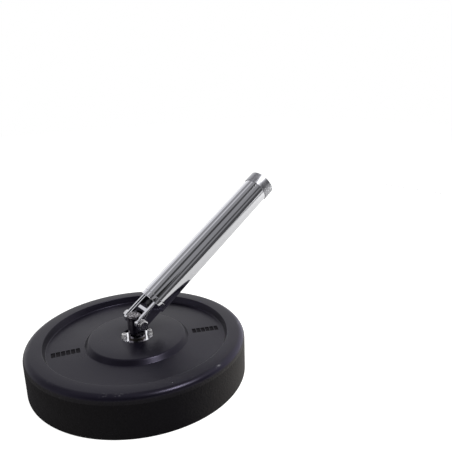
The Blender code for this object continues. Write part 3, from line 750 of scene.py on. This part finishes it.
class PIVOT_OT_underside(bpy.types.Operator):
    """Turn the moulded-in spool and the cover, and set the cover's countersunk screws"""
    bl_idname = "pivot.underside"
    bl_label = "Spool and cover"

    def execute(self, context):
        plate = context.scene.pivot_plate
        pivot = context.scene.pivot_parts
        bolts = context.scene.pivot_fasteners
        foot = plate.cover_thickness + GAP
        top = HOUSING_HIGH.z - pivot.housing_flange - GAP
        bore = pivot.housing_barrel + GAP
        spool = turned("moulded_in_spool", [
            (bore, top, 0.0004),
            (plate.insert_radius, top, 0.0006),
            (plate.insert_radius, top - plate.insert_flange, 0.0006),
            (plate.insert_barrel, top - plate.insert_flange, 0.0),
            (plate.insert_barrel, foot + plate.insert_flange, 0.0),
            (plate.insert_radius, foot + plate.insert_flange, 0.0006),
            (plate.insert_radius, foot, 0.0006),
            (bore, foot, 0.0004),
        ], MEDIUM)
        cover = turned("underside_cover", [
            (0.0, plate.cover_thickness, 0.0),
            (plate.cover_radius, plate.cover_thickness, 0.0004),
            (plate.cover_radius, 0.0, 0.0008),
            (0.0, 0.0, 0.0),
        ], FINE)
        hole = bolts.screw_radius + GAP
        for spot in housing_spots(pivot):
            carve(spool, rod(hole, top - SCREW_HOLE_DEPTH, top + SCREW_HOLE_DEPTH, spot))
        for number in range(1, 5):
            node = "cover_screw_%d" % number
            low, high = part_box(node)
            spot = shift((low.x + high.x) / 2, (low.y + high.y) / 2)
            head = (high.x - low.x) / 2
            carve(spool, rod(hole, 0.0, high.z + GAP, spot))
            carve(cover, self.countersunk("countersink", bolts, head, GAP, -CUT, COUNTERSINK_TOP, low.z,
                                          spot))
            screw = self.countersunk("countersunk_screw_%d" % number, bolts, head, 0.0, low.z, high.z, low.z,
                                     spot)
            carve(screw, prism("socket", 6, COVER_SOCKET_FLATS, low.z - CUT, low.z + COVER_SOCKET_DEPTH,
                               spot))
            smooth(screw)
            dress(screw, "zinc", node)
        smooth(spool)
        smooth(cover)
        dress(spool, "steel", "hub_insert")
        dress(cover, "steel", "bottom_cover")
        return {"FINISHED"}

    def countersunk(self, name, bolts, head, growth, low, high, face, spot):
        """Countersunk screw with its wide end down, or its hole, which is grown."""
        shank = bolts.screw_radius + growth
        cone = face + head + growth - shank + GAP
        return turned(name, [
            (0.0, high, 0.0),
            (shank, high, 0.0),
            (shank, cone, 0.0),
            (head + growth, face + GAP, 0.0),
            (head + growth, low, 0.0),
            (0.0, low, 0.0),
        ], SMALL, spot)


def housing_spots(pivot):
    """Places of the left and the right screw on the housing's flange."""
    for turn in (math.pi, 0.0):
        angle = pivot.screw_angle + turn
        yield shift(pivot.screw_circle * math.cos(angle), pivot.screw_circle * math.sin(angle))


class PIVOT_OT_housing(bpy.types.Operator):
    """Turn the swivel housing and its two flanged bushes"""
    bl_idname = "pivot.housing"
    bl_label = "Swivel housing"

    def execute(self, context):
        pivot = context.scene.pivot_parts
        bolts = context.scene.pivot_fasteners
        journal = pivot.journal_radius + GAP
        bore = journal + pivot.bush_wall + GAP
        top = HOUSING_HIGH.z
        seat = top - pivot.housing_flange
        floor = HOUSING_LOW.z
        housing = turned("swivel_flange", [
            (bore, top, 0.0004),
            (pivot.housing_radius, top, pivot.housing_edge),
            (pivot.housing_radius, seat, 0.0003),
            (pivot.housing_barrel, seat, 0.0),
            (pivot.housing_barrel, floor, 0.0005),
            (bore, floor, 0.0004),
        ], FINE)
        for spot in housing_spots(pivot):
            carve(housing, rod(bolts.screw_radius + GAP, floor, top + 3 * CUT, spot))
        smooth(housing)
        dress(housing, "flange chrome", "swivel_housing")
        for name, node, matrix in (
                ("upper_bronze_bush", "upper_bush", shift(z=top + GAP)),
                ("lower_bronze_bush", "lower_bush", shift(z=floor - GAP) @ turn_about("X", math.pi))):
            bush = turned(name, [
                (journal, pivot.bush_flange_thickness, 0.0003),
                (pivot.bush_flange, pivot.bush_flange_thickness, 0.0003),
                (pivot.bush_flange, 0.0, 0.0002),
                (journal + pivot.bush_wall, 0.0, 0.0),
                (journal + pivot.bush_wall, -pivot.bush_length, 0.0003),
                (journal, -pivot.bush_length, 0.0003),
            ], MEDIUM, matrix)
            dress(bush, "bronze", node)
        return {"FINISHED"}


class PIVOT_OT_housing_screws(bpy.types.Operator):
    """Turn the two knurled cap screws with their spring and flat washers"""
    bl_idname = "pivot.housing_screws"
    bl_label = "Housing screws"

    def execute(self, context):
        pivot = context.scene.pivot_parts
        bolts = context.scene.pivot_fasteners
        bore = bolts.screw_radius + GAP
        flat = HOUSING_HIGH.z + GAP
        spring = flat + bolts.flat_washer_thickness + GAP
        head = spring + bolts.spring_washer_thickness + GAP
        for side, spot in zip(("left", "right"), housing_spots(pivot)):
            washer = turned("flat_washer_" + side,
                            ring(bore, bolts.flat_washer, flat, flat + bolts.flat_washer_thickness, 0.0002),
                            SMALL, spot)
            dress(washer, "zinc", "housing_washer_" + side)
            coil = self.split_washer("spring_washer_" + side, bolts, bore, spring, spot)
            dress(coil, "zinc", "housing_lock_washer_" + side)
            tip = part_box("housing_screw_" + side)[0].z
            screw = self.cap_screw("cap_screw_" + side, bolts, head, tip, spot)
            dress(screw, "zinc", "housing_screw_" + side)
        return {"FINISHED"}

    def split_washer(self, name, bolts, bore, low, spot):
        """Ring with a narrow slanted cut."""
        high = low + bolts.spring_washer_thickness
        piece = turned(name, ring(bore, bolts.spring_washer, low, high, 0.00015), SMALL)
        slant = shift(0.0, -bolts.spring_washer, (low + high) / 2) @ turn_about("Y", SPLIT_SLANT)
        carve(piece, block((-SPLIT_WIDTH, -bolts.spring_washer, -SPLIT_HEIGHT),
                           (SPLIT_WIDTH, bolts.spring_washer, SPLIT_HEIGHT), slant))
        settle(piece, spot)
        smooth(piece)
        return piece

    def cap_screw(self, name, bolts, head, tip, spot):
        """Cap screw, knurled by drawing in every second line of its head's band."""
        top = head + bolts.screw_head_height
        radius = bolts.screw_head
        band = (head + 0.0006, top - 0.0014)
        screw = turned(name, [
            (0.0, top, 0.0),
            (radius, top, 0.0010),
            (radius, band[1], 0.0),
            (radius, band[0], 0.0),
            (radius, head, 0.0003),
            (bolts.screw_radius, head, 0.0),
            (bolts.screw_radius, tip, 0.0004),
            (0.0, tip, 0.0),
        ], MEDIUM)
        bpy.ops.object.mode_set(mode="EDIT")
        step = math.tau / MEDIUM
        pick(screw, lambda co: (min(abs(co.z - edge) for edge in band) < MERGE
                                and co.xy.length > radius - MERGE
                                and round(math.atan2(co.y, co.x) / step) % 2 == 0))
        inward = 1.0 - bolts.knurl_depth / radius
        bpy.ops.transform.resize(value=(inward, inward, 1.0), center_override=(0.0, 0.0, 0.0))
        bpy.ops.object.mode_set(mode="OBJECT")
        carve(screw, prism("socket", 6, bolts.screw_socket, top - bolts.socket_depth, top + 2 * CUT))
        settle(screw, spot)
        smooth(screw)
        return screw


class PIVOT_OT_post(bpy.types.Operator):
    """Turn the post, mill its flats, bore it for the hinge and fit its bushes, washer and nut"""
    bl_idname = "pivot.post"
    bl_label = "Swivel post"

    def execute(self, context):
        pivot = context.scene.pivot_parts
        bolts = context.scene.pivot_fasteners
        top, tip = POST_HIGH.z, POST_LOW.z
        base = HOUSING_HIGH.z + pivot.bush_flange_thickness + 2 * GAP
        journal_end = HOUSING_LOW.z - pivot.bush_flange_thickness - GAP
        post = turned("turned_post", [
            (0.0, top, 0.0),
            (pivot.post_radius, top, pivot.post_round),
            (pivot.post_radius, base, 0.0003),
            (pivot.journal_radius, base, 0.0),
            (pivot.journal_radius, journal_end, 0.0005),
            (pivot.spindle_radius, journal_end, 0.0),
            (pivot.spindle_radius, tip, 0.0008),
            (0.0, tip, 0.0),
        ], FINE)
        reach = 2 * pivot.post_radius
        shoulder = base + pivot.foot_height
        for side in (-1, 1):
            low, high = sorted((side * pivot.post_flat, side * reach))
            carve(post, block((-reach, low, shoulder), (reach, high, top + reach)))
        cross = hinge_matrix() @ ALONG_Y
        carve(post, rod(pivot.pin_bush_radius + GAP, -reach, reach, cross))
        soften(post, 0.0005, 3)
        smooth(post)
        # The post's chrome is darker than the flange's, as painted shade.
        dress(post, "post chrome", "swivel_post")
        low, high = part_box("spindle_washer")
        washer = turned("spindle_plain_washer",
                        ring(pivot.spindle_radius + GAP, high.x, low.z, high.z, 0.0003), MEDIUM)
        dress(washer, "zinc", "spindle_washer")
        low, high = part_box("spindle_nut")
        flats = min(high.x - low.x, high.y - low.y)
        nut = hex_piece("spindle_hex_nut", flats, low.z, high.z, pivot.spindle_radius + GAP)
        dress(nut, "zinc", "spindle_nut")
        face = pivot.post_flat + GAP
        flange = context.scene.pivot_sleeve.fork_gap - GAP - face
        for name, node, turn in (("near_pin_bush", "hinge_bush_near", AGAINST_Y),
                                 ("far_pin_bush", "hinge_bush_far", ALONG_Y)):
            place = hinge_matrix() @ turn @ shift(z=face)
            bush = turned(name, [
                (bolts.bolt_radius + GAP, flange, 0.0003),
                (pivot.pin_bush_flange, flange, 0.0003),
                (pivot.pin_bush_flange, 0.0, 0.0002),
                (pivot.pin_bush_radius, 0.0, 0.0),
                (pivot.pin_bush_radius, BUSH_MIDDLE - face, 0.0003),
                (bolts.bolt_radius + GAP, BUSH_MIDDLE - face, 0.0003),
            ], MEDIUM, place)
            dress(bush, "pin bronze", node)
        return {"FINISHED"}


def hex_piece(name, flats, low, high, bore=0.0, chamfer_both=True, matrix=Matrix()):
    """Hexagon with turned chamfers on its corners, bored if asked."""
    piece = prism(name, 6, flats, low, high)
    corner = flats / 2 / math.cos(math.pi / 6)
    face = flats / 2 * CHAMFER_START
    rise = (corner - face) * math.tan(CHAMFER_SLOPE)
    below = rise if chamfer_both else 0.0
    reach = corner + CUT
    trim = turned("trim", [
        (0.0, high, 0.0),
        (face, high, 0.0),
        (corner, high - rise, 0.0),
        (reach, high - rise, 0.0),
        (reach, low + below, 0.0),
        (corner, low + below, 0.0),
        (face if chamfer_both else corner, low, 0.0),
        (0.0, low, 0.0),
    ], MEDIUM)
    carve(piece, trim, "INTERSECT")
    if bore > 0.0:
        edge = 0.0006
        hole = turned("hole", [
            (0.0, high + 2 * CUT, 0.0),
            (bore + edge, high + 2 * CUT, 0.0),
            (bore + edge, high, 0.0),
            (bore, high - edge, 0.0),
            (bore, low + edge, 0.0),
            (bore + edge, low, 0.0),
            (bore + edge, low - 2 * CUT, 0.0),
            (0.0, low - 2 * CUT, 0.0),
        ], SMALL)
        carve(piece, hole)
    soften(piece, 0.00025, 2)
    settle(piece, matrix)
    smooth(piece)
    return piece


def bolt_piece(name, bolts, tip, matrix):
    """Hexagon bolt with its head above z = 0 and a threaded end."""
    piece = hex_piece(name, bolts.bolt_flats, 0.0, bolts.bolt_head, 0.0, False)
    radius = bolts.bolt_radius
    pitch = bolts.thread_pitch
    depth = THREAD_DEPTH * pitch
    end = -tip + THREAD_DEPTH * pitch
    threads = thread_outline(radius, depth, -tip + THREAD_LENGTH * pitch, end, pitch)
    shank = turned("shank", [
        (0.0, bolts.bolt_head / 2, 0.0),
        (radius, bolts.bolt_head / 2, 0.0),
        *threads,
        (radius, end, 0.0),
        (radius - depth, -tip, 0.0),
        (0.0, -tip, 0.0),
    ], SMALL)
    carve(piece, shank, "UNION")
    settle(piece, matrix)
    smooth(piece, THREAD_SHARP)
    return piece


class PIVOT_OT_fork(bpy.types.Operator):
    """Turn and mill the fork that carries the tube"""
    bl_idname = "pivot.fork"
    bl_label = "Fork"

    def execute(self, context):
        sleeve = context.scene.pivot_sleeve
        bolts = context.scene.pivot_fasteners
        shoulder = sleeve.start - GAP
        disc_start = shoulder - sleeve.disc_thickness
        spigot_end = shoulder + sleeve.spigot
        half = sleeve.arm_height / 2
        reach = 2 * sleeve.radius
        fork = turned("chrome_fork", [
            (0.0, spigot_end, 0.0),
            (sleeve.bore - GAP, spigot_end, 0.0008),
            (sleeve.bore - GAP, shoulder, 0.0),
            (sleeve.radius, shoulder, sleeve.shoulder_edge),
            (sleeve.radius, disc_start, sleeve.disc_round),
            (0.0, disc_start, 0.0),
        ], FINE)
        arms = turned("arms", disc(sleeve.radius, -half, disc_start + sleeve.disc_round), FINE)
        rail = block((-half, -sleeve.arm_flat, -reach), (half, sleeve.arm_flat, reach))
        soften(rail, sleeve.arm_round, 6)
        carve(arms, rail, "INTERSECT")
        carve(fork, arms, "UNION")
        ends = block((-reach, -reach, -reach), (reach, reach, 0.0))
        carve(ends, rod(half, -2 * reach, 2 * reach, ALONG_Y, FINE))
        carve(fork, ends)
        web_end = sleeve.web_start + sleeve.web_thickness
        gap = sleeve.fork_gap
        carve(fork, block((-reach, -gap, -reach), (reach, gap, sleeve.web_start)))
        carve(fork, block((-reach, -gap, web_end), (reach, gap, disc_start)))
        for side in (-1, 1):
            low, high = sorted((side * sleeve.web_height / 2, side * reach))
            carve(fork, block((low, -gap, sleeve.web_start - GAP), (high, gap, web_end + GAP)))
            low, high = sorted((side * (half - sleeve.rebate_depth), side * reach))
            carve(fork, block((low, -sleeve.rebate_gap, -reach), (high, sleeve.rebate_gap, disc_start)))
        hole = bolts.bolt_radius + GAP
        carve(fork, rod(hole, -reach, reach, ALONG_Y))
        carve(fork, rod(hole, web_end + GAP, 2 * spigot_end))
        soften(fork, 0.0005, 3)
        settle(fork, sleeve_matrix())
        smooth(fork)
        dress(fork, "sleeve chrome", "fork")
        return {"FINISHED"}


class PIVOT_OT_sleeve(bpy.types.Operator):
    """Turn the tube, its mouth ring and the stop inside it"""
    bl_idname = "pivot.sleeve"
    bl_label = "Sleeve"

    def execute(self, context):
        sleeve = context.scene.pivot_sleeve
        bolts = context.scene.pivot_fasteners
        matrix = sleeve_matrix()
        tube = turned("chrome_tube", [
            (sleeve.bore, sleeve.end, 0.0004),
            (sleeve.radius, sleeve.end, 0.0006),
            (sleeve.radius, sleeve.start, sleeve.edge),
            (sleeve.bore, sleeve.start, 0.0004),
        ], FINE, matrix)
        dress(tube, "sleeve chrome", "sleeve_tube")
        skirt = sleeve.end + GAP
        mouth = turned("satin_mouth_ring", [
            (sleeve.bore, sleeve.mouth_end, sleeve.mouth_round),
            (sleeve.mouth_radius, sleeve.mouth_end, sleeve.mouth_round),
            (sleeve.mouth_radius, sleeve.mouth_start, 0.0006),
            (sleeve.radius + GAP, sleeve.mouth_start, 0.0002),
            (sleeve.radius + GAP, skirt, 0.0),
            (sleeve.bore, skirt, 0.0004),
        ], FINE, matrix)
        dress(mouth, "satin", "mouth_ring")
        low = sleeve.start - GAP + sleeve.spigot + GAP
        bore = bolts.bolt_radius + GAP
        stop = turned("nylon_bar_stop", [
            (bore, low + sleeve.stop_floor, 0.0),
            (sleeve.stop_recess, low + sleeve.stop_floor, 0.0010),
            (sleeve.stop_recess, low + sleeve.stop_thickness, 0.0010),
            (sleeve.bore - GAP, low + sleeve.stop_thickness, 0.0020),
            (sleeve.bore - GAP, low, 0.0008),
            (bore, low, 0.0004),
        ], MEDIUM, matrix)
        dress(stop, "nylon", "bar_stop")
        washer_low = low + sleeve.stop_floor + GAP
        washer = turned("stop_plain_washer",
                        ring(bore, bolts.washer_radius, washer_low, washer_low + bolts.washer_thickness,
                             0.0002), SMALL, matrix)
        dress(washer, "sleeve zinc", "stop_washer")
        seat = washer_low + bolts.washer_thickness + GAP
        bolt = bolt_piece("stop_hex_bolt", bolts, seat - STOP_BOLT_END, matrix @ shift(z=seat))
        # Bolt and nut are black as painted shade in the fork's window.
        dress(bolt, "black steel", "stop_bolt")
        nut_end = sleeve.start - GAP - sleeve.disc_thickness - GAP
        nut = hex_piece("stop_hex_nut", bolts.bolt_flats, 0.0, bolts.nut_height, bore, True,
                        matrix @ shift(z=nut_end - bolts.nut_height))
        dress(nut, "black steel", "stop_nut")
        return {"FINISHED"}


class PIVOT_OT_hinge(bpy.types.Operator):
    """Set the hinge bolt with its washers and its lock nut"""
    bl_idname = "pivot.hinge"
    bl_label = "Hinge bolt"

    def execute(self, context):
        sleeve = context.scene.pivot_sleeve
        bolts = context.scene.pivot_fasteners
        matrix = sleeve_matrix()
        bore = bolts.bolt_radius + GAP
        face = sleeve.arm_flat + GAP
        nut_face = face + bolts.washer_thickness + GAP
        for side, turn in (("near", AGAINST_Y), ("far", ALONG_Y)):
            washer = turned(side + "_pin_washer",
                            ring(bore, bolts.washer_radius, 0.0, bolts.washer_thickness, 0.0003),
                            SMALL, matrix @ turn @ shift(z=face))
            dress(washer, "pin zinc", "hinge_washer_" + side)
        seat = shift(z=nut_face)
        tip = 2 * nut_face + bolts.nut_height + PIN_BOLT_STICK_OUT
        bolt = bolt_piece("pivot_bolt", bolts, tip, matrix @ AGAINST_Y @ seat)
        dress(bolt, "pin zinc", "hinge_bolt")
        nut = hex_piece("pivot_lock_nut", bolts.bolt_flats, 0.0, bolts.nut_height, bore, True,
                        matrix @ ALONG_Y @ seat)
        dress(nut, "pin zinc", "hinge_nut")
        return {"FINISHED"}


class PIVOT_OT_stage(bpy.types.Operator):
    """Lay the pale floor and set the surroundings, lamps and camera"""
    bl_idname = "pivot.stage"
    bl_label = "Stage"

    def execute(self, context):
        studio = context.scene.pivot_studio
        context.scene.view_settings.view_transform = "Standard"
        self.lay_floor(studio)
        self.set_surroundings(context.scene, studio)
        self.hang_lamps(context.scene)
        self.hang_cards(studio)
        self.hang_dark_card(studio)
        self.set_camera(context.scene, studio)
        return {"FINISHED"}

    def lay_floor(self, studio):
        floor = added(bpy.ops.mesh.primitive_plane_add, "pale_floor", size=studio.floor_size,
                      location=(0.0, 0.0, -FLOOR_DROP))
        nodes = self.matt(floor, FLOOR_TINT, (1.0, 1.0, 1.0))
        nodes.set(Roughness=0.9, Emission_Strength=nodes.seen_as(0.0, studio.floor_lift, studio.floor_shine))

    def matt(self, piece, tint, glow):
        """Give the floor or a card a dull material that can glow."""
        material = bpy.data.materials.new(piece.name)
        piece.data.materials.append(material)
        nodes = Nodes(material, "Principled BSDF")
        nodes.set(Base_Color=tint, Specular_IOR_Level=0.0, Emission_Color=glow)
        return nodes

    def set_surroundings(self, scene, studio):
        scene.world = bpy.data.worlds.new("white_surroundings")
        nodes = Nodes(scene.world, "Background")
        nodes.set(Color=(1.0, 1.0, 1.0), Strength=nodes.seen_as(studio.daylight, 1.0, 1.0))

    def hang_lamps(self, scene):
        for name, place, size, power, mirrored in LAMPS:
            lamp = bpy.data.lights.new(name, "AREA")
            lamp.shape = "RECTANGLE"
            lamp.size, lamp.size_y = size
            lamp.energy = power
            holder = bpy.data.objects.new(name, lamp)
            scene.collection.objects.link(holder)
            holder.location = place
            holder.visible_camera = False
            holder.visible_glossy = mirrored
            holder.rotation_euler = (-Vector(place)).to_track_quat("-Z", "Y").to_euler()

    def hang_cards(self, studio):
        """Hang grey and black cards along the sleeve, which only reflections show."""
        start, end = CARD_SPAN
        for index, (first, last, level) in enumerate(REFLECTOR_CARDS):
            middle, spread = math.radians((first + last) / 2), math.radians(last - first)
            width = 2 * studio.card_distance * math.tan(spread / 2)
            self.hang_card("reflector_card_%d" % (index + 1), end - start, width, level,
                           sleeve_matrix() @ turn_about("Z", math.pi + middle)
                           @ shift(studio.card_distance, 0.0, (start + end) / 2))

    def hang_dark_card(self, studio):
        """Stand a dark card behind the camera, which the housing and the bushes reflect."""
        distance, width, height, level = DARK_CARD
        self.hang_card("dark_card", height, width, level,
                       turn_about("Z", studio.dark_card_turn) @ turn_about("Y", -studio.dark_card_rise)
                       @ shift(distance))

    def hang_card(self, name, height, width, level, matrix):
        """Hang a card that faces back along X and is seen by reflections alone."""
        card = added(bpy.ops.mesh.primitive_plane_add, name, size=1.0)
        settle(card, matrix @ turn_about("Y", math.pi / 2) @ Matrix.Diagonal((height, width, 1.0, 1.0)))
        self.matt(card, (0.0, 0.0, 0.0), CARD_TINT).set(Emission_Strength=level)
        card.visible_camera = False
        card.visible_diffuse = False
        card.visible_shadow = False
        card.visible_transmission = False

    def set_camera(self, scene, studio):
        lens = bpy.data.cameras.new("view")
        lens.lens = studio.lens
        camera = bpy.data.objects.new("view", lens)
        scene.collection.objects.link(camera)
        camera.matrix_world = (shift(*studio.camera_place) @ turn_about("Z", studio.camera_turn)
                               @ turn_about("X", math.pi / 2 - studio.camera_pitch)
                               @ turn_about("Z", studio.camera_roll))
        scene.camera = camera


STEPS = (PIVOT_OT_finishes, PIVOT_OT_plate, PIVOT_OT_underside, PIVOT_OT_housing, PIVOT_OT_housing_screws,
         PIVOT_OT_post, PIVOT_OT_fork, PIVOT_OT_sleeve, PIVOT_OT_hinge, PIVOT_OT_stage)
GROUPS = {"pivot_plate": PlateSizes, "pivot_parts": PivotSizes, "pivot_sleeve": SleeveSizes,
          "pivot_fasteners": FastenerSizes, "pivot_colours": FinishColours, "pivot_studio": StudioSettings}


class PIVOT_PT_panel(bpy.types.Panel):
    """Lists the steps that build the pivot base"""
    bl_idname = "PIVOT_PT_panel"
    bl_label = "Pivot Base"
    bl_space_type = "VIEW_3D"
    bl_region_type = "UI"
    bl_category = "Pivot Base"

    def draw(self, context):
        for step in STEPS:
            self.layout.operator(step.bl_idname)


def register():
    for item in (*GROUPS.values(), *STEPS, PIVOT_PT_panel):
        bpy.utils.register_class(item)
    for name, group in GROUPS.items():
        setattr(bpy.types.Scene, name, bpy.props.PointerProperty(type=group))


def unregister():
    for name in GROUPS:
        delattr(bpy.types.Scene, name)
    for item in reversed((*GROUPS.values(), *STEPS, PIVOT_PT_panel)):
        bpy.utils.unregister_class(item)


def main():
    register()
    bpy.ops.pivot.finishes()
    bpy.ops.pivot.plate()
    bpy.ops.pivot.underside()
    bpy.ops.pivot.housing()
    bpy.ops.pivot.housing_screws()
    bpy.ops.pivot.post()
    bpy.ops.pivot.fork()
    bpy.ops.pivot.sleeve()
    bpy.ops.pivot.hinge()
    bpy.ops.pivot.stage()


if __name__ == "__main__":
    main()
